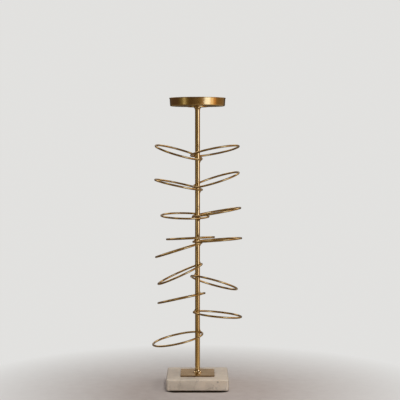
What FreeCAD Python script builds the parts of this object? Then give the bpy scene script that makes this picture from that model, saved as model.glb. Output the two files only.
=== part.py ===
import FreeCAD, Part
import math
import os

# Spiral candle holder: a marble slab on four pads carries a brass plate and a slim brass
# stem, the stem carries fourteen closed wire rings and, on top, a shallow spun dish.
# Lengths are in millimetres and angles in degrees. The origin is on the stem's axis, in
# the plane that the pads stand on. X is to the right, Y to the back and Z up.

Vector = FreeCAD.Vector
UP = Vector(0, 0, 1)

# Marble slab
slab_size = 100.0
slab_thickness = 18.5
slab_corner_radius = 4.0
slab_edge_radius = 2.4

# Pads under the slab
pad_diameter = 10.0
pad_height = 1.5
pad_inset = 11.0
pad_edge_bevel = 0.4

# Brass plate on the slab
plate_size = 55.0
plate_thickness = 2.0
plate_corner_radius = 2.0
plate_edge_bevel = 0.3

# Stem, with a thinner threaded end that goes down through plate and slab
stem_diameter = 8.0
stem_length = 432.5
tenon_diameter = 6.0
tenon_overrun = 1.0
tenon_bevel = 0.5

# Washer and nut in the pocket under the slab
base_washer_diameter = 18.0
base_washer_thickness = 1.6
nut_across_flats = 10.0
nut_height = 5.0
nut_bevel = 0.6
pocket_wall_clearance = 2.5
pocket_end_clearance = 0.8

# Flared foot brazed round the stem where it meets the plate
flare_base_diameter = 16.0
flare_top_diameter = 9.2
flare_height = 4.0
flare_foot_height = 0.6

# Flared collar brazed round the top of the stem
collar_top_diameter = 11.6
collar_bottom_diameter = 8.9
collar_height = 4.2
collar_band_height = 1.2

# Disc between the collar and the dish
disc_diameter = 32.0
disc_thickness = 1.5
disc_edge_bevel = 0.3

# Spun dish with a sloping wall and a small turned lip
dish_bottom_diameter = 88.6
dish_top_diameter = 90.2
dish_height = 13.5
dish_wall = 1.2
dish_floor = 1.2
dish_corner_radius = 1.8
dish_inner_radius = 0.8
lip_overhang = 0.6
lip_height = 1.4
lip_radius = 0.5

# Countersunk screw that ties dish, disc and stem together, flush with the dish's floor
screw_diameter = 5.0
screw_grip_length = 12.0
screw_head_diameter = 9.2
screw_head_land = 0.3
countersink_angle = 90.0
screw_socket_across_flats = 3.0
screw_socket_depth = 1.4
tapped_hole_spare = 3.0

# Wire rings
ring_diameter = 78.0
wire_diameter = 3.2

# Brazed beads that join each ring to the stem
bead_root_diameter = 5.4
bead_tip_diameter = 1.0
bead_length = 6.5
bead_lap = 0.9
bead_waist_share = 0.40

# Clearances
hole_clearance = 0.4
thread_clearance = 0.1
braze_gap = 0.4
cut_overrun = 1.0

# The rings from the top down. Level is a share of the stem's length, lift is a share of
# the wire's diameter by which rings of one cluster are set apart, and size is a share of
# the ring diameter. Then come three angles: heading, counted from the right towards the
# back, rise of the ring away from the stem, and roll about the heading. The last value
# is the side of the ring that its bead is on, 1 above and -1 below.
ring_shares = (
    (0.811, -0.83, 1.00, 168, 17, -3, -1),
    (0.811, 0.74, 1.00, -29, 13, -1, 1),
    (0.695, -0.60, 1.00, 164, 12, 2, -1),
    (0.695, 0.72, 1.00, 16, 18, 0, 1),
    (0.589, -0.63, 1.00, 129, 3, -1, -1),
    (0.589, 0.50, 1.00, -18, 10, 2, 1),
    (0.500, 1.40, 1.00, 111, -5, -1, 1),
    (0.500, -0.60, 1.00, -13, 5, -2, 1),
    (0.500, -1.20, 1.00, 170, -18, 1, -1),
    (0.408, 0.00, 1.00, 165, -24, -5, 1),
    (0.367, 0.00, 1.00, 28, -20, -4, 1),
    (0.298, 0.00, 1.00, 146, -14, -1, 1),
    (0.228, 0.00, 1.00, 7, -6, -2, 1),
    (0.151, 0.00, 1.05, 200, -12, 3, 1),
)

# Levels, worked out from the table upwards
slab_bottom = pad_height
slab_top = slab_bottom + slab_thickness
plate_top = slab_top + plate_thickness
stem_top = plate_top + stem_length
dish_bottom = stem_top + disc_thickness
floor_top = dish_bottom + dish_floor
dish_rim = dish_bottom + dish_height

# Sizes that follow from what they hold
stem_radius = stem_diameter / 2
wire_radius = wire_diameter / 2
tenon_hole_diameter = tenon_diameter + hole_clearance
screw_hole_diameter = screw_diameter + hole_clearance
countersink_lean = math.tan(math.radians(countersink_angle / 2))
tapped_hole_depth = screw_grip_length + tapped_hole_spare
tenon_stack = base_washer_thickness + nut_height + tenon_overrun
pocket_depth = tenon_stack + pocket_end_clearance
pocket_diameter = base_washer_diameter + 2 * pocket_wall_clearance
pocket_top = slab_bottom + pocket_depth
tenon_bottom = pocket_top - tenon_stack


def cylinder(diameter, bottom, height, x=0.0, y=0.0):
    """A round bar that stands on the level bottom."""
    return Part.makeCylinder(diameter / 2, height, Vector(x, y, bottom), UP)


def drill(solid, diameter, bottom, top):
    """Cut a round hole on the stem's axis, open at both levels."""
    length = top - bottom + 2 * cut_overrun
    return solid.cut(cylinder(diameter, bottom - cut_overrun, length))


def square_block(size, bottom, thickness, corner_radius):
    """A square slab centred on the stem's axis, with rounded upright corners."""
    corner = Vector(-size / 2, -size / 2, bottom)
    block = Part.makeBox(size, size, thickness, corner)
    uprights = [edge for edge in block.Edges if abs(edge.tangentAt(edge.FirstParameter).z) > 0.5]
    return block.makeFillet(corner_radius, uprights)


def level_edges(solid, level):
    """The edges of a solid that lie flat at one level."""
    found = []
    for edge in solid.Edges:
        box = edge.BoundBox
        if math.isclose(box.ZMin, level, abs_tol=1e-4) and math.isclose(box.ZMax, level, abs_tol=1e-4):
            found.append(edge)
    return found


def circle_edges(solid, radius, level):
    """The round edges of a solid at one level that have one radius."""
    found = []
    for edge in level_edges(solid, level):
        curve = edge.Curve
        if isinstance(curve, Part.Circle) and math.isclose(curve.Radius, radius, rel_tol=1e-4):
            found.append(edge)
    return found


def turned(edges):
    """Turn a closed half profile, drawn in the XZ plane, about the stem's axis."""
    face = Part.Face(Part.Wire(edges))
    return face.revolve(Vector(0, 0, 0), UP, 360)


def line(start, end):
    """A straight edge between two points given as radius and level."""
    return Part.makeLine(Vector(start[0], 0, start[1]), Vector(end[0], 0, end[1]))


def arc(start, middle, end):
    """A round edge through three points given as radius and level."""
    points = [Vector(point[0], 0, point[1]) for point in (start, middle, end)]
    return Part.Arc(*points).toShape()


def outline(points):
    """Straight edges round a closed list of points."""
    return [line(start, end) for start, end in zip(points, points[1:] + points[:1])]


def hexagon(across_flats, bottom, height):
    """A six-sided bar centred on the stem's axis."""
    corner_radius = across_flats / math.sqrt(3)
    corners = []
    for side in range(6):
        angle = math.radians(60 * side)
        corners.append(Vector(corner_radius * math.cos(angle), corner_radius * math.sin(angle), bottom))
    face = Part.Face(Part.makePolygon(corners + corners[:1]))
    return face.extrude(Vector(0, 0, height))


def hollow_curve(outer, inner):
    """The arc of a cove that leaves the outer point level and meets the inner one upright."""
    bulge = 1 - math.sqrt(0.5)
    middle = (
        inner[0] + (outer[0] - inner[0]) * bulge,
        outer[1] + (inner[1] - outer[1]) * bulge,
    )
    return arc(outer, middle, inner)


def marble_base():
    """The marble slab, bored for the stem's end and pocketed beneath for its nut."""
    slab = square_block(slab_size, slab_bottom, slab_thickness, slab_corner_radius)
    eased = level_edges(slab, slab_bottom) + level_edges(slab, slab_top)
    slab = slab.makeFillet(slab_edge_radius, eased)
    slab = drill(slab, tenon_hole_diameter, slab_bottom, slab_top)
    pocket = cylinder(pocket_diameter, slab_bottom - cut_overrun, pocket_depth + cut_overrun)
    return slab.cut(pocket)


def foot_pads():
    """Four round pads, one near each corner of the slab."""
    reach = slab_size / 2 - pad_inset
    pads = []
    for x in (-reach, reach):
        for y in (-reach, reach):
            pad = cylinder(pad_diameter, 0, pad_height, x, y)
            pads.append(pad.makeChamfer(pad_edge_bevel, level_edges(pad, 0)))
    return Part.makeCompound(pads)


def base_plate():
    """The square brass plate between slab and stem."""
    plate = square_block(plate_size, slab_top, plate_thickness, plate_corner_radius)
    plate = plate.makeChamfer(plate_edge_bevel, level_edges(plate, plate_top))
    return drill(plate, tenon_hole_diameter, slab_top, plate_top)


def foot_flare():
    """The flared foot, a hollow-sided ring that sits on the plate round the stem."""
    bore = stem_radius
    foot = flare_base_diameter / 2
    neck = flare_top_diameter / 2
    foot_top = plate_top + flare_foot_height
    top = plate_top + flare_height
    profile = [
        line((bore, plate_top), (foot, plate_top)),
        line((foot, plate_top), (foot, foot_top)),
        hollow_curve((foot, foot_top), (neck, top)),
        line((neck, top), (bore, top)),
        line((bore, top), (bore, plate_top)),
    ]
    return turned(profile)


def stem():
    """The stem, with its threaded end below and its tapped hole above."""
    rod = cylinder(stem_diameter, plate_top, stem_length)
    tenon = cylinder(tenon_diameter, tenon_bottom, plate_top - tenon_bottom)
    tenon = tenon.makeChamfer(tenon_bevel, level_edges(tenon, tenon_bottom))
    hole_diameter = screw_diameter + thread_clearance
    hole = cylinder(hole_diameter, stem_top - tapped_hole_depth, tapped_hole_depth + cut_overrun)
    return rod.fuse(tenon).removeSplitter().cut(hole)


def base_washer():
    """The washer that bears on the roof of the slab's pocket."""
    bottom = pocket_top - base_washer_thickness
    washer = cylinder(base_washer_diameter, bottom, base_washer_thickness)
    return drill(washer, tenon_hole_diameter, bottom, pocket_top)


def base_nut():
    """The hexagon nut on the stem's threaded end."""
    top = pocket_top - base_washer_thickness
    bottom = top - nut_height
    body = hexagon(nut_across_flats, bottom, nut_height)
    corner_diameter = 2 * nut_across_flats / math.sqrt(3)
    turned_blank = cylinder(corner_diameter, bottom, nut_height)
    ends = level_edges(turned_blank, bottom) + level_edges(turned_blank, top)
    body = body.common(turned_blank.makeChamfer(nut_bevel, ends))
    return drill(body, tenon_diameter + thread_clearance, bottom, top)


def top_collar():
    """The flared collar that widens the stem's end under the disc."""
    bore = stem_radius
    rim = collar_top_diameter / 2
    neck = collar_bottom_diameter / 2
    bottom = stem_top - collar_height
    band_bottom = stem_top - collar_band_height
    profile = [
        line((bore, stem_top), (rim, stem_top)),
        line((rim, stem_top), (rim, band_bottom)),
        hollow_curve((rim, band_bottom), (neck, bottom)),
        line((neck, bottom), (bore, bottom)),
        line((bore, bottom), (bore, stem_top)),
    ]
    return turned(profile)


def countersunk_hole():
    """The cut for the screw: a cone through the dish's floor into the disc, then a round hole."""
    hole = screw_hole_diameter / 2
    mouth = screw_head_diameter / 2 + screw_head_land * countersink_lean
    cone_bottom = floor_top - (mouth - hole) / countersink_lean
    top = floor_top + cut_overrun
    bottom = stem_top - cut_overrun
    return turned(outline([
        (0, bottom),
        (hole, bottom),
        (hole, cone_bottom),
        (mouth + cut_overrun * countersink_lean, top),
        (0, top),
    ]))


def dish_disc():
    """The disc that spreads the dish's load over the stem and its collar."""
    disc = cylinder(disc_diameter, stem_top, disc_thickness)
    disc = disc.makeChamfer(disc_edge_bevel, level_edges(disc, stem_top))
    return disc.cut(countersunk_hole())


def dish():
    """The spun dish: flat floor, wall that leans out a little and a turned lip."""
    foot = dish_bottom_diameter / 2
    top = dish_top_diameter / 2
    lip = top + lip_overhang
    lip_bottom = dish_rim - lip_height
    shell = turned(outline([
        (0, dish_bottom),
        (foot, dish_bottom),
        (top, lip_bottom),
        (lip, lip_bottom),
        (lip, dish_rim),
        (top - dish_wall, dish_rim),
        (foot - dish_wall, floor_top),
        (0, floor_top),
    ]))
    shell = shell.makeFillet(dish_corner_radius, circle_edges(shell, foot, dish_bottom))
    shell = shell.makeFillet(dish_inner_radius, circle_edges(shell, foot - dish_wall, floor_top))
    lip_edges = circle_edges(shell, lip, lip_bottom) + circle_edges(shell, lip, dish_rim)
    lip_edges += circle_edges(shell, top - dish_wall, dish_rim)
    return shell.makeFillet(lip_radius, lip_edges).cut(countersunk_hole())


def dish_screw():
    """The countersunk screw, from the dish's floor down into the stem."""
    tip = stem_top - screw_grip_length
    shank = screw_diameter / 2
    head = screw_head_diameter / 2
    land_bottom = floor_top - screw_head_land
    neck = land_bottom - (head - shank) / countersink_lean
    body = turned(outline([
        (0, tip),
        (shank, tip),
        (shank, neck),
        (head, land_bottom),
        (head, floor_top),
        (0, floor_top),
    ]))
    socket_bottom = floor_top - screw_socket_depth
    socket = hexagon(screw_socket_across_flats, socket_bottom, screw_socket_depth + cut_overrun)
    return body.cut(socket)


def ring_place(level_share, lift_share, heading):
    """Where the middle of a ring's wire passes the stem, on the side away from its heading."""
    reach = stem_radius + braze_gap + wire_radius
    angle = math.radians(heading)
    level = plate_top + level_share * stem_length + lift_share * wire_diameter
    return Vector(-reach * math.cos(angle), -reach * math.sin(angle), level)


def ring(level_share, lift_share, size_share, heading, rise, roll):
    """One closed wire ring that goes round the stem and touches it on its inner side."""
    radius = ring_diameter * size_share / 2
    hoop = Part.makeTorus(radius, wire_radius, Vector(radius, 0, 0), UP)
    turn = FreeCAD.Rotation(heading, -rise, roll)
    hoop.Placement = FreeCAD.Placement(ring_place(level_share, lift_share, heading), turn)
    return hoop


def braze_bead(place, side, hoop, rod):
    """A bead of braze that fills the gap at a ring and runs out thin along the stem."""
    root = bead_root_diameter / 2
    tip = bead_tip_diameter / 2
    waist = (tip + (root - tip) * bead_waist_share, bead_length * bead_waist_share)
    bead = turned([
        line((0, 0), (root, 0)),
        arc((root, 0), waist, (tip, bead_length)),
        line((tip, bead_length), (0, bead_length)),
        line((0, bead_length), (0, 0)),
    ])
    if side < 0:
        bead = bead.mirror(Vector(0, 0, 0), UP)
    seat = Vector(place.x, place.y, 0).normalize() * stem_radius
    bead.translate(seat + UP * (place.z - side * bead_lap))
    pieces = bead.cut([hoop, rod]).Solids
    return max(pieces, key=lambda piece: piece.Volume)


def rings_and_beads():
    """All rings by name, and the beads that hold them."""
    rod = cylinder(stem_diameter, plate_top, stem_length)
    hoops = {}
    beads = []
    for number, row in enumerate(ring_shares, start=1):
        level_share, lift_share, size_share, heading, rise, roll, side = row
        hoop = ring(level_share, lift_share, size_share, heading, rise, roll)
        place = ring_place(level_share, lift_share, heading)
        hoops[f"ring_{number:02d}"] = hoop
        beads.append(braze_bead(place, side, hoop, rod))
    return hoops, Part.makeCompound(beads)


def build():
    """Every sub-part by name."""
    hoops, beads = rings_and_beads()
    parts = {
        "marble_base": marble_base(),
        "foot_pads": foot_pads(),
        "base_plate": base_plate(),
        "foot_flare": foot_flare(),
        "stem": stem(),
        "base_washer": base_washer(),
        "base_nut": base_nut(),
        "top_collar": top_collar(),
        "dish_disc": dish_disc(),
        "dish": dish(),
        "dish_screw": dish_screw(),
    }
    parts.update(hoops)
    parts["braze_beads"] = beads
    return parts


def main():
    """Write one file per sub-part and print what each holds."""
    os.makedirs("parts", exist_ok=True)
    for name, shape in build().items():
        shape.exportStep(f"parts/{name}.step")
        print(name, len(shape.Solids), "solids", "valid" if shape.isValid() else "NOT VALID", round(shape.Volume, 1))


main()
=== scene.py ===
import bpy
import bmesh
import math
from mathutils import Matrix, Vector, noise


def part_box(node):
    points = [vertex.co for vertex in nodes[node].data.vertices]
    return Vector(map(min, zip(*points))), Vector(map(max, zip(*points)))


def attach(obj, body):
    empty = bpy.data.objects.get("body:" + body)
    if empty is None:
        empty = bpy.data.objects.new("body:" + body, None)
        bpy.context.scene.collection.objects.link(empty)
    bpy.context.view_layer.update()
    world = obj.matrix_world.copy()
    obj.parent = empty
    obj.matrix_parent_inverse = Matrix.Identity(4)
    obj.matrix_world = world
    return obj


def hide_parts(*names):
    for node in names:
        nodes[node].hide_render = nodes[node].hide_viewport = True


# Spiral candle holder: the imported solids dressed, a finer stem, and the braze as it flowed.
# Lengths are in metres and angles in degrees.

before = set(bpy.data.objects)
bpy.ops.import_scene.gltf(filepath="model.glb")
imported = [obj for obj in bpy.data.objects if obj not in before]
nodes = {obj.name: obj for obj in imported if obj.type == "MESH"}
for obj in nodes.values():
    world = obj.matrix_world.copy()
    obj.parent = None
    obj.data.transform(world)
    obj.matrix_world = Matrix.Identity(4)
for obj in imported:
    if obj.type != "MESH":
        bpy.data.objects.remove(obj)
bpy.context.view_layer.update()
RING_NAMES = sorted(name for name in nodes if name.startswith("ring_"))

MM = 0.001
UP = Vector((0, 0, 1))

# The photograph's view: the stem's middle shows at one pixel column, the horizon at one row
IMAGE_SIZE = 400
FOCAL_PIXELS = 1100.0
STEM_COLUMN = 197.5
HORIZON_ROW = 144.0
SENSOR_WIDTH = 36.0
EYE_DISTANCE = 1.785
EYE_HEIGHT = 0.3951

FULL_TURN = 360
HALF_TURN = 180
QUARTER_TURN = 90

# Places of the sockets of a colour mix node
MIX_FACTOR, MIX_FIRST, MIX_SECOND, MIX_RESULT = 0, 6, 7, 2
RAMP_MIDDLE = 0.5
# Noise lies round a middle value, and seldom outside this span
NOISE_MIDDLE = 0.5
NOISE_SPAN = (0.3, 0.7)


class Tree:
    """A node tree that is built by short calls."""

    def __init__(self, tree):
        self.tree = tree
        self.tree.nodes.clear()

    def node(self, kind, **inputs):
        made = self.tree.nodes.new(kind)
        for key, value in inputs.items():
            self.feed(made, key, value)
        return made

    def feed(self, node, key, value):
        """Link an output, or set a value, on the input with that name or number."""
        name = int(key[1:]) if key[0] == "_" else key.replace("_", " ")
        socket = node.inputs[name]
        if isinstance(value, bpy.types.NodeSocket):
            self.tree.links.new(value, socket)
        else:
            socket.default_value = value

    def math(self, operation, first, second=0.0):
        made = self.node("ShaderNodeMath", _0=first, _1=second)
        made.operation = operation
        return made.outputs[0]

    def vector(self, operation, first, second=(0, 0, 0)):
        made = self.node("ShaderNodeVectorMath", _0=first, _1=second)
        made.operation = operation
        return made.outputs["Value" if operation in ("LENGTH", "DISTANCE") else "Vector"]

    def ramp(self, factor, stops, smooth=False):
        made = self.node("ShaderNodeValToRGB", Fac=factor)
        ramp = made.color_ramp
        ramp.interpolation = "EASE" if smooth else "LINEAR"
        while len(ramp.elements) < len(stops):
            ramp.elements.new(RAMP_MIDDLE)
        for element, (place, colour) in zip(ramp.elements, stops):
            element.position = place
            element.color = (*colour, 1.0)
        return made.outputs["Color"]

    def mix(self, factor, first, second):
        made = self.tree.nodes.new("ShaderNodeMix")
        made.data_type = "RGBA"
        for number, value in ((MIX_FACTOR, factor), (MIX_FIRST, first), (MIX_SECOND, second)):
            if isinstance(value, bpy.types.NodeSocket):
                self.tree.links.new(value, made.inputs[number])
            else:
                made.inputs[number].default_value = value if number == MIX_FACTOR else (*value, 1.0)
        return made.outputs[MIX_RESULT]

    def noise(self, place, scale, detail=3.0, roughness=0.5, stretch=None):
        if stretch is not None:
            place = self.vector("MULTIPLY", place, stretch)
        made = self.node("ShaderNodeTexNoise", Vector=place, Scale=scale, Detail=detail,
                         Roughness=roughness)
        return made.outputs[0]

    def span(self, value, low, high, out_low=0.0, out_high=1.0):
        made = self.node("ShaderNodeMapRange", _0=value, _1=low, _2=high, _3=out_low, _4=out_high)
        return made.outputs[0]

    def place(self):
        """Where a point is in its object's frame."""
        return self.node("ShaderNodeTexCoord").outputs["Object"]

    def axis_reach(self, split):
        """How far a split place is from the upright axis."""
        return self.math("SQRT", self.math("ADD", self.math("POWER", split.outputs[0], 2.0),
                                           self.math("POWER", split.outputs[1], 2.0)))


def new_material(name):
    material = bpy.data.materials.new(name)
    material.use_nodes = True
    return material, Tree(material.node_tree)


def finish_material(tree, surface):
    out = tree.tree.nodes.new("ShaderNodeOutputMaterial")
    tree.tree.links.new(surface, out.inputs["Surface"])


# Lacquered antique brass: clean, polished, gone dull and brown in spots; the plate's steep sides get
# painted shade
BRASS_COLOUR = (0.66, 0.475, 0.225)
BRASS_BRIGHT = (0.88, 0.72, 0.49)
BRASS_DULL = (0.56, 0.39, 0.17)
BRASS_TARNISH = (0.30, 0.19, 0.08)
BRASS_PAINTED_SHADE = (0.20, 0.108, 0.03)
CLOUD_SCALE = 38.0
SPOT_SCALE = 210.0
DRAWN_SCALE = 1100.0
TURNED_SCALE = 1500.0
LINE_STRETCH = 0.02
GRAIN_DEPTH = 0.006 * MM
DENT_SCALE = 70.0
DENT_DEPTH = 0.03 * MM
CLOUD_SPAN = (0.36, 0.66)
SPOT_SPAN = (0.56, 0.76)
LINE_SPAN = (0.35, 0.70)
LINE_SHARE = 0.12
# Upward lean at which painted shade starts to darken a side, and at which it no longer does
SIDE_SPAN = (0.3, 0.9)
ROUGH_LESS = 0.03
ROUGH_MORE = 0.05
LINE_ROUGH = 0.02


def grain_lines(t, place, grain):
    """A fine line pattern: drawn along the piece, turned round it, brushed across it, or even."""
    if grain == "along":
        return t.noise(place, DRAWN_SCALE, detail=2.0, stretch=(1.0, 1.0, LINE_STRETCH))
    if grain == "across":
        return t.noise(place, DRAWN_SCALE, roughness=0.6, stretch=(LINE_STRETCH, 1.0, 1.0))
    if grain == "round":
        split = t.node("ShaderNodeSeparateXYZ", Vector=place)
        turned = t.node("ShaderNodeCombineXYZ", X=t.axis_reach(split), Y=split.outputs[2], Z=0.0)
        return t.noise(turned.outputs[0], TURNED_SCALE, detail=2.0, roughness=0.6)
    return t.noise(place, DRAWN_SCALE, roughness=0.6)


def brass(name, grain, roughness, tarnish, clean=BRASS_COLOUR, painted_side_shade=False):
    """Lacquered antique brass with soft clouds, brown spots, and a fine grain."""
    material, t = new_material(name)
    place = t.place()
    cloud = t.noise(place, CLOUD_SCALE, detail=4.0, roughness=0.55)
    lines = grain_lines(t, place, grain)
    tone = t.mix(t.span(cloud, *CLOUD_SPAN), clean, BRASS_DULL)
    spots = t.span(t.noise(place, SPOT_SCALE, detail=5.0, roughness=0.7), *SPOT_SPAN)
    tone = t.mix(t.math("MULTIPLY", spots, tarnish), tone, BRASS_TARNISH)
    tone = t.mix(t.span(lines, *LINE_SPAN, 0.0, LINE_SHARE), tone, BRASS_TARNISH)
    # Painted shade: the plate's steep sides are darkened by the way they face, in place of the shade and
    # dim reflection they get
    if painted_side_shade:
        facing = t.node("ShaderNodeSeparateXYZ", Vector=t.node("ShaderNodeNewGeometry").outputs["Normal"])
        upright = t.span(t.math("ABSOLUTE", facing.outputs[2]), *SIDE_SPAN, 1.0, 0.0)
        tone = t.mix(upright, tone, BRASS_PAINTED_SHADE)
    rough = t.math("ADD", t.span(cloud, *NOISE_SPAN, roughness - ROUGH_LESS, roughness + ROUGH_MORE),
                   t.span(lines, *NOISE_SPAN, -LINE_ROUGH, LINE_ROUGH))
    fine = t.node("ShaderNodeBump", Strength=1.0, Distance=GRAIN_DEPTH, Height=lines)
    dents = t.node("ShaderNodeBump", Strength=1.0, Distance=DENT_DEPTH,
                   Height=t.noise(place, DENT_SCALE, detail=2.0), Normal=fine.outputs[0])
    surface = t.node("ShaderNodeBsdfPrincipled", Base_Color=tone, Metallic=1.0, Roughness=rough,
                     Normal=dents.outputs[0])
    finish_material(t, surface.outputs[0])
    return material


MARBLE_PALE = (0.66, 0.585, 0.50)
MARBLE_DEEP = (0.53, 0.47, 0.405)
MARBLE_VEIN = (0.31, 0.275, 0.24)
MARBLE_RUST = (0.60, 0.47, 0.35)
# How the noise places are bent, so that veins and clouds look drawn out
MARBLE_WARP_SCALE = 22.0
MARBLE_WARP = 0.016
MARBLE_CLOUD_SCALE = 26.0
MARBLE_CLOUD_SPAN = (0.33, 0.62)
RUST_SCALE = 14.0
RUST_SPAN = (0.56, 0.74)
RUST_SHARE = 0.35
# Large and small veins: noise scale, width and depth
VEINS = [(17.0, 0.018, 0.50), (41.0, 0.012, 0.30)]
VEIN_PATCH_SHARE = 0.5
VEIN_PATCH_SPAN = (0.42, 0.62)
# A small dark mineral speck and two grey blooms that show on the slab's front
SPECK_PLACE = (0.0323, -0.050, 0.0162)
SPECK_REACH = 2.2 * MM
SPECK_SHARE = 0.95
BLOOM_PLACES = [(-0.026, -0.050, 0.0085), (0.0195, -0.050, 0.0080)]
BLOOM_REACH = 9.0 * MM
BLOOM_SHARE = 0.30
CORE_SHARE = 0.2
# The fine grain all over, with its own faint specks
MARBLE_GRAIN_SCALE = 520.0
MARBLE_GRAIN_DEPTH = 0.08 * MM
FLECK_SPAN = (0.68, 0.76)
FLECK_SHARE = 0.25
MARBLE_WAVE_SCALE = 45.0
MARBLE_WAVE_DEPTH = 0.5 * MM
MARBLE_ROUGH = (0.42, 0.30)
MARBLE_GLOW_SHARE = 0.12
MARBLE_GLOW_DEPTH = 3.0 * MM
MARBLE_GLOW_TONE = (1.0, 0.8, 0.6)
MARBLE_IOR = 1.5


def marble():
    """Honed pale marble with clouds, thin grey veins and a few mineral specks."""
    material, t = new_material("marble_honed")
    place = t.place()
    warp = t.node("ShaderNodeTexNoise", Vector=place, Scale=MARBLE_WARP_SCALE, Detail=3.0)
    shift = t.vector("MULTIPLY", t.vector("SUBTRACT", warp.outputs["Color"], (NOISE_MIDDLE,) * 3),
                     (MARBLE_WARP,) * 3)
    bent = t.vector("ADD", place, shift)
    cloud = t.noise(bent, MARBLE_CLOUD_SCALE, detail=6.0, roughness=0.6)
    tone = t.ramp(cloud, list(zip(MARBLE_CLOUD_SPAN, (MARBLE_DEEP, MARBLE_PALE))), smooth=True)
    rust = t.span(t.noise(bent, RUST_SCALE, detail=4.0, roughness=0.55), *RUST_SPAN)
    tone = t.mix(t.math("MULTIPLY", rust, RUST_SHARE), tone, MARBLE_RUST)
    for scale, width, depth in VEINS:
        strands = t.noise(bent, scale, detail=5.0, roughness=0.62)
        ridge = t.math("ABSOLUTE", t.math("SUBTRACT", strands, NOISE_MIDDLE))
        vein = t.span(ridge, 0.0, width, 1.0, 0.0)
        patch = t.span(t.noise(bent, scale * VEIN_PATCH_SHARE, detail=2.0), *VEIN_PATCH_SPAN)
        tone = t.mix(t.math("MULTIPLY", t.math("MULTIPLY", vein, patch), depth), tone, MARBLE_VEIN)
    for bloom in BLOOM_PLACES:
        apart = t.vector("DISTANCE", bent, bloom)
        soft = t.span(apart, BLOOM_REACH * CORE_SHARE, BLOOM_REACH, BLOOM_SHARE, 0.0)
        tone = t.mix(soft, tone, MARBLE_VEIN)
    apart = t.vector("DISTANCE", place, SPECK_PLACE)
    near = t.span(apart, SPECK_REACH * CORE_SHARE, SPECK_REACH, 1.0, 0.0)
    grain = t.noise(place, MARBLE_GRAIN_SCALE, detail=4.0, roughness=0.65)
    dark = t.math("MAXIMUM", t.math("MULTIPLY", t.span(grain, *FLECK_SPAN), FLECK_SHARE),
                  t.math("MULTIPLY", near, SPECK_SHARE))
    tone = t.mix(dark, tone, MARBLE_VEIN)
    bump = t.node("ShaderNodeBump", Strength=0.3, Distance=MARBLE_GRAIN_DEPTH, Height=grain)
    waves = t.node("ShaderNodeBump", Strength=0.35, Distance=MARBLE_WAVE_DEPTH,
                   Height=t.noise(place, MARBLE_WAVE_SCALE, detail=2.0), Normal=bump.outputs[0])
    rough = t.span(cloud, *NOISE_SPAN, *MARBLE_ROUGH)
    surface = t.node("ShaderNodeBsdfPrincipled", Base_Color=tone, Roughness=rough, Normal=waves.outputs[0],
                     Subsurface_Weight=MARBLE_GLOW_SHARE, Subsurface_Scale=MARBLE_GLOW_DEPTH,
                     Subsurface_Radius=MARBLE_GLOW_TONE, IOR=MARBLE_IOR)
    finish_material(t, surface.outputs[0])
    return material


RUBBER_BLACK = (0.018, 0.016, 0.015)
RUBBER_DUSTY = (0.075, 0.068, 0.06)
RUBBER_GRAIN_SCALE = 1500.0
RUBBER_GRAIN_DEPTH = 0.05 * MM
RUBBER_ROUGH = (0.75, 0.9)
DUST_SCALE = 240.0
DUST_SPAN = (0.5, 0.75)
DUST_SHARE = 0.5


def rubber():
    """Matt black rubber with a fine grain and a dusty bloom."""
    material, t = new_material("pad_rubber")
    place = t.place()
    grain = t.noise(place, RUBBER_GRAIN_SCALE)
    dust = t.span(t.noise(place, DUST_SCALE, detail=4.0), *DUST_SPAN)
    tone = t.mix(t.math("MULTIPLY", dust, DUST_SHARE), RUBBER_BLACK, RUBBER_DUSTY)
    bump = t.node("ShaderNodeBump", Strength=0.5, Distance=RUBBER_GRAIN_DEPTH, Height=grain)
    surface = t.node("ShaderNodeBsdfPrincipled", Base_Color=tone, Normal=bump.outputs[0],
                     Roughness=t.span(grain, *NOISE_SPAN, *RUBBER_ROUGH))
    finish_material(t, surface.outputs[0])
    return material


ZINC_STOPS = [(0.35, (0.42, 0.42, 0.41)), (0.65, (0.62, 0.62, 0.60))]
ZINC_CLOUD_SCALE = 260.0
ZINC_TURNED_SCALE = 3000.0
ZINC_TURNED_DEPTH = 0.02 * MM
ZINC_ROUGH = (0.28, 0.45)


def steel():
    """Zinc-plated steel with fine turning marks and a few dull clouds."""
    material, t = new_material("zinc_steel")
    place = t.place()
    cloud = t.noise(place, ZINC_CLOUD_SCALE, detail=4.0)
    split = t.node("ShaderNodeSeparateXYZ", Vector=place)
    turned = t.node("ShaderNodeCombineXYZ", X=t.axis_reach(split), Y=0.0, Z=0.0)
    lines = t.noise(turned.outputs[0], ZINC_TURNED_SCALE, detail=2.0)
    bump = t.node("ShaderNodeBump", Strength=0.3, Distance=ZINC_TURNED_DEPTH, Height=lines)
    surface = t.node("ShaderNodeBsdfPrincipled", Base_Color=t.ramp(cloud, ZINC_STOPS), Metallic=1.0,
                     Roughness=t.span(cloud, *NOISE_SPAN, *ZINC_ROUGH), Normal=bump.outputs[0])
    finish_material(t, surface.outputs[0])
    return material


def dress(obj, material):
    """Give one material to every slot of an object."""
    if not obj.material_slots:
        obj.data.materials.append(material)
    for slot in obj.material_slots:
        slot.material = material


def link(name, mesh):
    obj = bpy.data.objects.new(name, mesh)
    bpy.context.scene.collection.objects.link(obj)
    return obj


# Corners sharper than this stay sharp on turned solids
SHARP_ANGLE = 35


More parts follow.
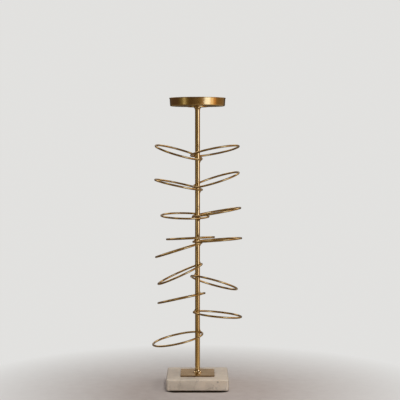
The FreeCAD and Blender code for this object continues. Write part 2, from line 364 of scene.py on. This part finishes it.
def lathe(name, profile, sides):
    """A turned solid about the Z axis from a list of (radius, level) points."""
    bm = bmesh.new()
    turns = [2 * math.pi * k / sides for k in range(sides)]
    rows = []
    for radius, level in profile:
        if radius == 0:
            rows.append([bm.verts.new((0, 0, level))])
            continue
        rows.append([bm.verts.new((radius * math.cos(a), radius * math.sin(a), level)) for a in turns])
    for low, high in zip(rows, rows[1:]):
        for k in range(sides):
            n = (k + 1) % sides
            if len(low) == 1:
                bm.faces.new((low[0], high[n], high[k]))
            elif len(high) == 1:
                bm.faces.new((low[k], low[n], high[0]))
            else:
                bm.faces.new((low[k], low[n], high[n], high[k]))
    bmesh.ops.recalc_face_normals(bm, faces=bm.faces)
    mesh = bpy.data.meshes.new(name)
    bm.to_mesh(mesh)
    bm.free()
    mesh.shade_smooth()
    mesh.set_sharp_from_angle(angle=math.radians(SHARP_ANGLE))
    return link(name, mesh)


# How closely a ring's facts are read from its mesh
POINT_STRIDE = 7
SOLVE_ROUNDS = 12
TOUCH_STEPS = 720
TINY = 0.000001


def ring_facts(name):
    """Centre and radius of a ring's wire line, and its point and direction nearest the stem's axis."""
    low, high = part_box(name)
    mesh = nodes[name].data
    points = [v.co for v in mesh.vertices]
    centre = (low + high) / 2
    spread = Matrix(((0,) * 3,) * 3)
    for p in points[::POINT_STRIDE]:
        d = p - centre
        spread += Matrix([[d[i] * d[j] for j in range(3)] for i in range(3)])
    # the normal is the direction of least spread, found by repeated solving from straight up
    normal = UP
    inverse = spread.inverted()
    for _ in range(SOLVE_ROUNDS):
        normal = (inverse @ normal).normalized()
    outer = max((p - centre).length for p in points)
    wire = max(abs((p - centre) @ normal) for p in points)
    radius = outer - wire
    side = UP.cross(normal)
    side = side.normalized() if side.length > TINY else Vector((1, 0, 0))
    up = normal.cross(side)
    best = None
    for k in range(TOUCH_STEPS):
        a = 2 * math.pi * k / TOUCH_STEPS
        p = centre + (side * math.cos(a) + up * math.sin(a)) * radius
        reach = math.hypot(p.x, p.y)
        if best is None or reach < best[0]:
            best = (reach, p, (up * math.cos(a) - side * math.sin(a)).normalized())
    return {"centre": centre, "radius": radius, "wire": wire, "touch": best[1], "along": best[2]}


# Points that agree to this many digits of a metre are one point
WELD_DIGITS = 6


def bead_places():
    """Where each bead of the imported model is: the mean of each loose piece."""
    mesh = nodes["braze_beads"].data
    parent = list(range(len(mesh.vertices)))

    def find(k):
        while parent[k] != k:
            parent[k] = parent[parent[k]]
            k = parent[k]
        return k

    seen = {}
    for v in mesh.vertices:
        key = tuple(round(c, WELD_DIGITS) for c in v.co)
        if key in seen:
            parent[find(v.index)] = find(seen[key])
        else:
            seen[key] = v.index
    for edge in mesh.edges:
        a, b = edge.vertices
        parent[find(a)] = find(b)
    groups = {}
    for v in mesh.vertices:
        groups.setdefault(find(v.index), []).append(v.co)
    return [sum(g, Vector()) / len(g) for g in groups.values()]


def blob(bm, centre, axes, reaches, rows=10, sides=20):
    """Add an ellipsoid with the given axes and reaches to a mesh."""
    made = bmesh.ops.create_uvsphere(bm, u_segments=sides, v_segments=rows, radius=1.0)
    turn = Matrix((axes[0], axes[1], axes[2])).transposed()
    for v in made["verts"]:
        v.co = centre + turn @ Vector([v.co[i] * reaches[i] for i in range(3)])


BRAZE_VOXEL = 0.32 * MM
BRAZE_RUN = 3.6 * MM
BRAZE_SLEEVE = 0.24 * MM
BRAZE_INSET = 0.03 * MM
BRAZE_STEPS = 13
BRAZE_FADE = 1.5
MELT_ROUNDS = 7
MELT_SHARE = 0.55
BRAZE_ROUGH = 0.16 * MM
BRAZE_ROUGH_SIZE = 2.2 * MM
# The uneven surface's dimension, the step between its layers, and how many there are
BRAZE_ROUGH_LAYERS = (0.8, 2.2, 3)
# Web and runs at the stem, in mm: how far out and on each blob stands, and its three reaches
BRAZE_BLOBS = [
    (0.5, 0.5, (2.0, 2.7, 2.5)),
    (0.0, 2.0, (1.25, 2.1, 3.6)),
    (-0.3, 2.4, (0.8, 1.3, 3.0)),
    (0.0, -1.4, (0.7, 2.0, 1.8)),
]


def braze_joint(name, facts, beads, stem_radius):
    """The braze at one ring: a sleeve along the wire, a web to the stem and a run along the stem."""
    touch, along, wire = facts["touch"], facts["along"], facts["wire"]
    outward = Vector((touch.x, touch.y, 0)).normalized()
    axes = (outward, UP.cross(outward), UP)
    bead = min(beads, key=lambda b: (b - touch).length)
    side = 1.0 if bead.z > touch.z else -1.0
    bm = bmesh.new()
    for k in range(BRAZE_STEPS):
        share = 2 * k / (BRAZE_STEPS - 1) - 1
        swell = BRAZE_SLEEVE * math.cos(share * math.pi / 2) ** BRAZE_FADE
        bend = (facts["centre"] - touch).normalized() * (share * BRAZE_RUN) ** 2 / (2 * facts["radius"])
        reach = wire + swell - BRAZE_INSET
        blob(bm, touch + along * share * BRAZE_RUN + bend, axes, (reach,) * 3, rows=8, sides=14)
    seat = outward * stem_radius + UP * touch.z
    for out, on, reaches in BRAZE_BLOBS:
        place = seat + outward * out * MM + UP * side * on * MM
        blob(bm, place, axes, [reach * MM for reach in reaches])
    return flow(name, bm)


def flow(name, bm):
    """Melt a heap of blobs into one skin of braze with a slightly uneven surface."""
    mesh = bpy.data.meshes.new(name)
    bm.to_mesh(mesh)
    bm.free()
    obj = link(name, mesh)
    remesh = obj.modifiers.new("Remesh", "REMESH")
    remesh.mode = "VOXEL"
    remesh.voxel_size = BRAZE_VOXEL
    smooth = obj.modifiers.new("Smooth", "SMOOTH")
    smooth.iterations = MELT_ROUNDS
    smooth.factor = MELT_SHARE
    bpy.context.view_layer.update()
    baked = bpy.data.meshes.new_from_object(obj.evaluated_get(bpy.context.evaluated_depsgraph_get()))
    obj.modifiers.clear()
    obj.data = baked
    for v in baked.vertices:
        rough = noise.fractal(v.co / BRAZE_ROUGH_SIZE, *BRAZE_ROUGH_LAYERS)
        v.co += v.normal * rough * BRAZE_ROUGH
    baked.shade_smooth()
    return obj


def join(objects, name):
    """Join meshes into one object."""
    bm = bmesh.new()
    for obj in objects:
        bm.from_mesh(obj.data)
        bpy.data.objects.remove(obj)
    mesh = bpy.data.meshes.new(name)
    bm.to_mesh(mesh)
    bm.free()
    mesh.shade_smooth()
    return link(name, mesh)


STEM_SIDES = 96
STEM_EDGE = 0.25 * MM
# The stem's hole is read within this depth of its top, and goes this far below the screw
STEM_TOP = 1.0 * MM
HOLE_SPARE = 3.0 * MM


def make_stem():
    """The stem with fine eased ends and its thinner end under the plate."""
    low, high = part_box("stem")
    radius = high.x
    tenon = min(math.hypot(v.co.x, v.co.y) for v in nodes["base_nut"].data.vertices)
    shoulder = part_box("base_plate")[1].z
    top = high.z - STEM_TOP
    hole = min(math.hypot(v.co.x, v.co.y) for v in nodes["stem"].data.vertices if v.co.z > top)
    hole_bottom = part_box("dish_screw")[0].z - HOLE_SPARE
    edge = STEM_EDGE
    profile = [(0, low.z), (tenon - edge, low.z), (tenon, low.z + edge), (tenon, shoulder),
               (radius, shoulder), (radius, high.z - edge), (radius - edge, high.z), (hole, high.z),
               (hole, hole_bottom), (0, hole_bottom)]
    stem = lathe("stem_rod", profile, STEM_SIDES)
    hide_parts("stem")
    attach(stem, "root")
    return stem, radius


# Braze also bridges two wires wherever they come this near each other, close to the stem
BRIDGE_GAP = 2.2 * MM
BRIDGE_REACH = 16.0 * MM
BRIDGE_STEP = 1.5
BRIDGE_SWELL = 0.8
BRIDGE_FADE = 0.5
# How many rings further down the row each ring is compared with
BRIDGE_NEIGHBOURS = 2


def wire_points(facts):
    """Points along a ring's wire line, near the stem only."""
    centre, side, radius = facts["centre"], facts["along"], facts["radius"]
    inward = (facts["touch"] - centre).normalized()
    turns = [math.radians(BRIDGE_STEP * k) for k in range(int(FULL_TURN / BRIDGE_STEP))]
    points = [centre + (inward * math.cos(a) + side * math.sin(a)) * radius for a in turns]
    return [p for p in points if math.hypot(p.x, p.y) < BRIDGE_REACH]


def bridge(bm, first, second):
    """Blobs of braze wherever two rings' wires nearly touch."""
    for p in wire_points(first):
        q = min(wire_points(second), key=lambda other: (other - p).length, default=None)
        if q is None:
            continue
        gap = (q - p).length - first["wire"] - second["wire"]
        if gap < BRIDGE_GAP:
            way = (q - p).normalized()
            aside = way.orthogonal().normalized()
            thick = first["wire"] * BRIDGE_SWELL * (1 - gap / BRIDGE_GAP) ** BRIDGE_FADE
            blob(bm, (p + q) / 2, (way, aside, way.cross(aside)), ((q - p).length / 2, thick, thick),
                 rows=8, sides=12)


def make_braze(stem_radius):
    """All braze joints as one piece."""
    beads = bead_places()
    facts = [ring_facts(name) for name in RING_NAMES]
    joints = [braze_joint("joint", fact, beads, stem_radius) for fact in facts]
    bm = bmesh.new()
    for k, first in enumerate(facts):
        for second in facts[k + 1:k + 1 + BRIDGE_NEIGHBOURS]:
            bridge(bm, first, second)
    joints.append(flow("bridges", bm))
    braze = join(joints, "braze_joints")
    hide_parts("braze_beads")
    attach(braze, "root")
    return braze


WALL_TONE = (0.76, 0.755, 0.74)
TABLE_TONE = (0.47, 0.42, 0.405)
WEAVE_SCALE = 60.0
WEAVE_SHARE = 0.12
# The deeper pool of table round the object fades out between these two reaches
POOL_MIDDLE = (0.0, -0.05, 0.0)
POOL_REACH = 0.10
POOL_FADE = 0.42
# The dark patch of shade right under the slab, tucked in a little at its sides
TABLE_SHADE = (0.05, 0.035, 0.025)
SHADE_MIDDLE = (0.0, -0.0035, 0.0)
SHADE_TUCK = (0.0025, 0.0, 0.0)
SHADE_CORNER = 12.0 * MM
SHADE_EDGE = 3.0 * MM
STAGE_REACH = 3.0
STAGE_SIDES = 96
WALL_HEIGHT = 3.2
COVE_RADIUS = 0.8
COVE_STEP = 10


def stage_material(name, pool):
    """A pale matt stage. With a pool, its tone is deeper round the object."""
    material, t = new_material(name)
    glow = t.node("ShaderNodeEmission", Color=(*WALL_TONE, 1.0), Strength=1.0)
    if not pool:
        finish_material(t, glow.outputs[0])
        return material
    place = t.place()
    weave = t.noise(place, WEAVE_SCALE)
    tone = t.mix(t.span(weave, *NOISE_SPAN, 0.0, WEAVE_SHARE), TABLE_TONE, WALL_TONE)
    apart = t.vector("ABSOLUTE", t.vector("SUBTRACT", place, SHADE_MIDDLE))
    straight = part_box("marble_base")[1].x - SHADE_CORNER
    beyond = t.vector("SUBTRACT", t.vector("ADD", apart, SHADE_TUCK), (straight, straight, 0))
    reach = t.vector("LENGTH", t.vector("MAXIMUM", beyond, (0, 0, 0)))
    under = t.span(reach, SHADE_CORNER - SHADE_EDGE, SHADE_CORNER + SHADE_EDGE, 1.0, 0.0)
    matt = t.node("ShaderNodeBsdfDiffuse", Color=t.mix(under, tone, TABLE_SHADE))
    fade = t.span(t.vector("DISTANCE", place, POOL_MIDDLE), POOL_REACH, POOL_FADE)
    blend = t.node("ShaderNodeMixShader", _0=fade, _1=matt.outputs[0], _2=glow.outputs[0])
    finish_material(t, blend.outputs[0])
    return material


def make_stage():
    """A round floor and a wall that rises from it in a cove all round."""
    inner = STAGE_REACH - COVE_RADIUS
    floor = lathe("stage_floor", [(0, 0), (POOL_REACH, 0), (inner, 0)], STAGE_SIDES)
    dress(floor, stage_material("stage_floor", pool=True))
    arc = [(inner + COVE_RADIUS * math.sin(a), COVE_RADIUS * (1 - math.cos(a)))
           for a in map(math.radians, range(0, QUARTER_TURN + 1, COVE_STEP))]
    wall = lathe("stage_wall", arc + [(STAGE_REACH, WALL_HEIGHT)], STAGE_SIDES)
    dress(wall, stage_material("stage_wall", pool=False))
    wall.visible_diffuse = False
    for obj in (floor, wall):
        obj.visible_glossy = False


# What the brass mirrors at eye level, by azimuth from the viewer's side, right being positive
WALL_TONES = [
    (-180, (0.485, 0.42, 0.375)),
    (-150, (0.22, 0.18, 0.15)),
    (-138, (0.12, 0.08, 0.06)),
    (-92, (0.10, 0.065, 0.05)),
    (-78, (0.14, 0.11, 0.07)),
    (-66, (0.27, 0.23, 0.10)),
    (-44, (0.22, 0.175, 0.075)),
    (-34, (0.09, 0.055, 0.03)),
    (-8, (0.08, 0.045, 0.022)),
    (6, (0.13, 0.09, 0.035)),
    (28, (0.50, 0.32, 0.14)),
    (66, (0.50, 0.32, 0.14)),
    (92, (0.28, 0.17, 0.07)),
    (130, (0.30, 0.22, 0.14)),
    (155, (0.27, 0.225, 0.185)),
    (180, (0.485, 0.42, 0.375)),
]
# The same below eye level, where the table comes in
TABLE_TONES = [
    (-180, (0.52, 0.46, 0.38)),
    (-140, (0.22, 0.17, 0.12)),
    (-70, (0.22, 0.17, 0.12)),
    (-25, (0.28, 0.21, 0.12)),
    (-8, (0.64, 0.53, 0.37)),
    (40, (0.66, 0.55, 0.40)),
    (75, (0.60, 0.52, 0.40)),
    (120, (0.44, 0.37, 0.28)),
    (180, (0.52, 0.46, 0.38)),
]
# Between these two rises the wall gives way to the table
TABLE_RISE = (-8.5, -11.5)
# Ceiling, zenith and floor: the rise where each starts, where it is full, and its tone
ROOM_BANDS = [
    (22.0, 45.0, (0.08, 0.055, 0.033)),
    (58.0, 72.0, (0.46, 0.37, 0.25)),
    (-22.0, -45.0, (0.10, 0.075, 0.05)),
]
# Patches of their own tone: azimuth, half width, lowest and highest rise, and tone
ROOM_PATCHES = [
    (77, 5, -9, 30, (0.85, 0.42, 0.14)),
    (62, 8, -9, 30, (1.40, 1.12, 0.80)),
    (41.3, 12.7, -7, 28, (2.20, 2.55, 3.40)),
    (-56, 6, -7, -2, (1.40, 1.36, 1.10)),
    (136, 14, 26, 50, (2.2, 2.0, 1.75)),
    (-136, 14, 26, 50, (2.2, 2.0, 1.75)),
    (-48, 12, 36, 60, (1.5, 1.35, 1.0)),
    (180, 36, -18, 7, (0.08, 0.06, 0.04)),
    (-180, 36, -18, 7, (0.08, 0.06, 0.04)),
]
PATCH_EDGE = 2.0


def by_turn(tones):
    """Ramp stops from tones by azimuth."""
    return [((turn + HALF_TURN) / FULL_TURN, tone) for turn, tone in tones]


def room_patch(t, turn, rise, middle, half, low, high):
    """A mask for one soft-edged patch of the room."""
    away = t.math("ABSOLUTE", t.math("SUBTRACT", turn, middle))
    across = t.span(away, half - PATCH_EDGE, half + PATCH_EDGE, 1.0, 0.0)
    above = t.span(rise, low - PATCH_EDGE, low + PATCH_EDGE)
    below = t.span(rise, high - PATCH_EDGE, high + PATCH_EDGE, 1.0, 0.0)
    return t.math("MULTIPLY", across, t.math("MULTIPLY", above, below))


def make_room():
    """The world: a room that only the gloss sees, in tones that change round and up."""
    world = bpy.data.worlds.new("room")
    bpy.context.scene.world = world
    world.use_nodes = True
    world.cycles_visibility.diffuse = False
    t = Tree(world.node_tree)
    split = t.node("ShaderNodeSeparateXYZ", Vector=t.node("ShaderNodeTexCoord").outputs["Generated"])
    x, y, z = split.outputs
    turn = t.math("DEGREES", t.math("ARCTAN2", x, t.math("MULTIPLY", y, -1.0)))
    rise = t.math("DEGREES", t.math("ARCSINE", z))
    share = t.span(turn, -HALF_TURN, HALF_TURN)
    tone = t.mix(t.span(rise, *TABLE_RISE), t.ramp(share, by_turn(WALL_TONES)),
                 t.ramp(share, by_turn(TABLE_TONES)))
    for start, full, colour in ROOM_BANDS:
        tone = t.mix(t.span(rise, start, full), tone, colour)
    for middle, half, low, high, colour in ROOM_PATCHES:
        tone = t.mix(room_patch(t, turn, rise, middle, half, low, high), tone, colour)
    back = t.node("ShaderNodeBackground", Color=tone, Strength=1.0)
    out = t.tree.nodes.new("ShaderNodeOutputWorld")
    t.tree.links.new(back.outputs[0], out.inputs["Surface"])


LIGHT_AIM = (0.0, 0.0, 0.2)
# Name, azimuth, rise, distance and size in metres, power in watts, and colour
LIGHTS = [
    ("top", 150, 66, 1.9, 1.0, 8, (1.0, 0.97, 0.93)),
    ("front", 6, 43, 1.9, 0.8, 25, (1.0, 0.96, 0.91)),
    ("right", 70, 34, 1.8, 0.7, 8, (1.0, 0.93, 0.84)),
    ("left", -80, 50, 1.9, 0.8, 4, (0.96, 0.97, 1.0)),
]


def area_light(name, turn, rise, distance, size, power, colour):
    """A soft light for the matt surfaces, at an azimuth and a rise, aimed at the object."""
    a, e = math.radians(turn), math.radians(rise)
    way = Vector((math.sin(a) * math.cos(e), -math.cos(a) * math.cos(e), math.sin(e)))
    data = bpy.data.lights.new(name, "AREA")
    data.shape = "SQUARE"
    data.size = size
    data.energy = power
    data.color = colour
    light = bpy.data.objects.new(name, data)
    bpy.context.scene.collection.objects.link(light)
    light.location = Vector(LIGHT_AIM) + way * distance
    light.rotation_mode = "QUATERNION"
    light.rotation_quaternion = (-way).to_track_quat("-Z", "Y")
    light.visible_camera = False
    light.visible_glossy = False


def make_camera():
    """The photograph's camera, straight in front of the stem's axis and looking a little down."""
    data = bpy.data.cameras.new("camera")
    data.sensor_width = SENSOR_WIDTH
    data.lens = SENSOR_WIDTH * FOCAL_PIXELS / IMAGE_SIZE
    data.dof.use_dof = False
    camera = bpy.data.objects.new("camera", data)
    bpy.context.scene.collection.objects.link(camera)
    aside = (IMAGE_SIZE / 2 - STEM_COLUMN) * EYE_DISTANCE / FOCAL_PIXELS
    pitch = math.atan((IMAGE_SIZE / 2 - HORIZON_ROW) / FOCAL_PIXELS)
    camera.location = (aside, -EYE_DISTANCE, EYE_HEIGHT)
    camera.rotation_euler = (math.pi / 2 - pitch, 0, 0)
    bpy.context.scene.camera = camera


def dress_nodes():
    """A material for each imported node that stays."""
    wire = brass("brass_wire", grain="even", roughness=0.14, tarnish=0.40)
    turned = brass("brass_turned", grain="round", roughness=0.20, tarnish=0.25)
    foot = brass("brass_foot", grain="round", roughness=0.08, tarnish=0.0, clean=BRASS_BRIGHT)
    plate = brass("brass_plate", grain="across", roughness=0.27, tarnish=0.35, painted_side_shade=True)
    for material, names in (
        (wire, RING_NAMES),
        (turned, ("dish", "dish_disc", "top_collar")),
        (foot, ("foot_flare",)),
        (plate, ("base_plate",)),
        (marble(), ("marble_base",)),
        (rubber(), ("foot_pads",)),
        (steel(), ("base_washer", "base_nut", "dish_screw")),
    ):
        for name in names:
            dress(nodes[name], material)


def main():
    """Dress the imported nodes, add the two redrawn pieces, and set the stage."""
    dress_nodes()
    stem, stem_radius = make_stem()
    dress(stem, brass("brass_rod", grain="along", roughness=0.13, tarnish=0.15))
    braze = make_braze(stem_radius)
    dress(braze, brass("brass_braze", grain="even", roughness=0.34, tarnish=0.55))
    make_stage()
    make_room()
    for light in LIGHTS:
        area_light(*light)
    make_camera()
    bpy.context.scene.view_settings.view_transform = "Standard"


main()
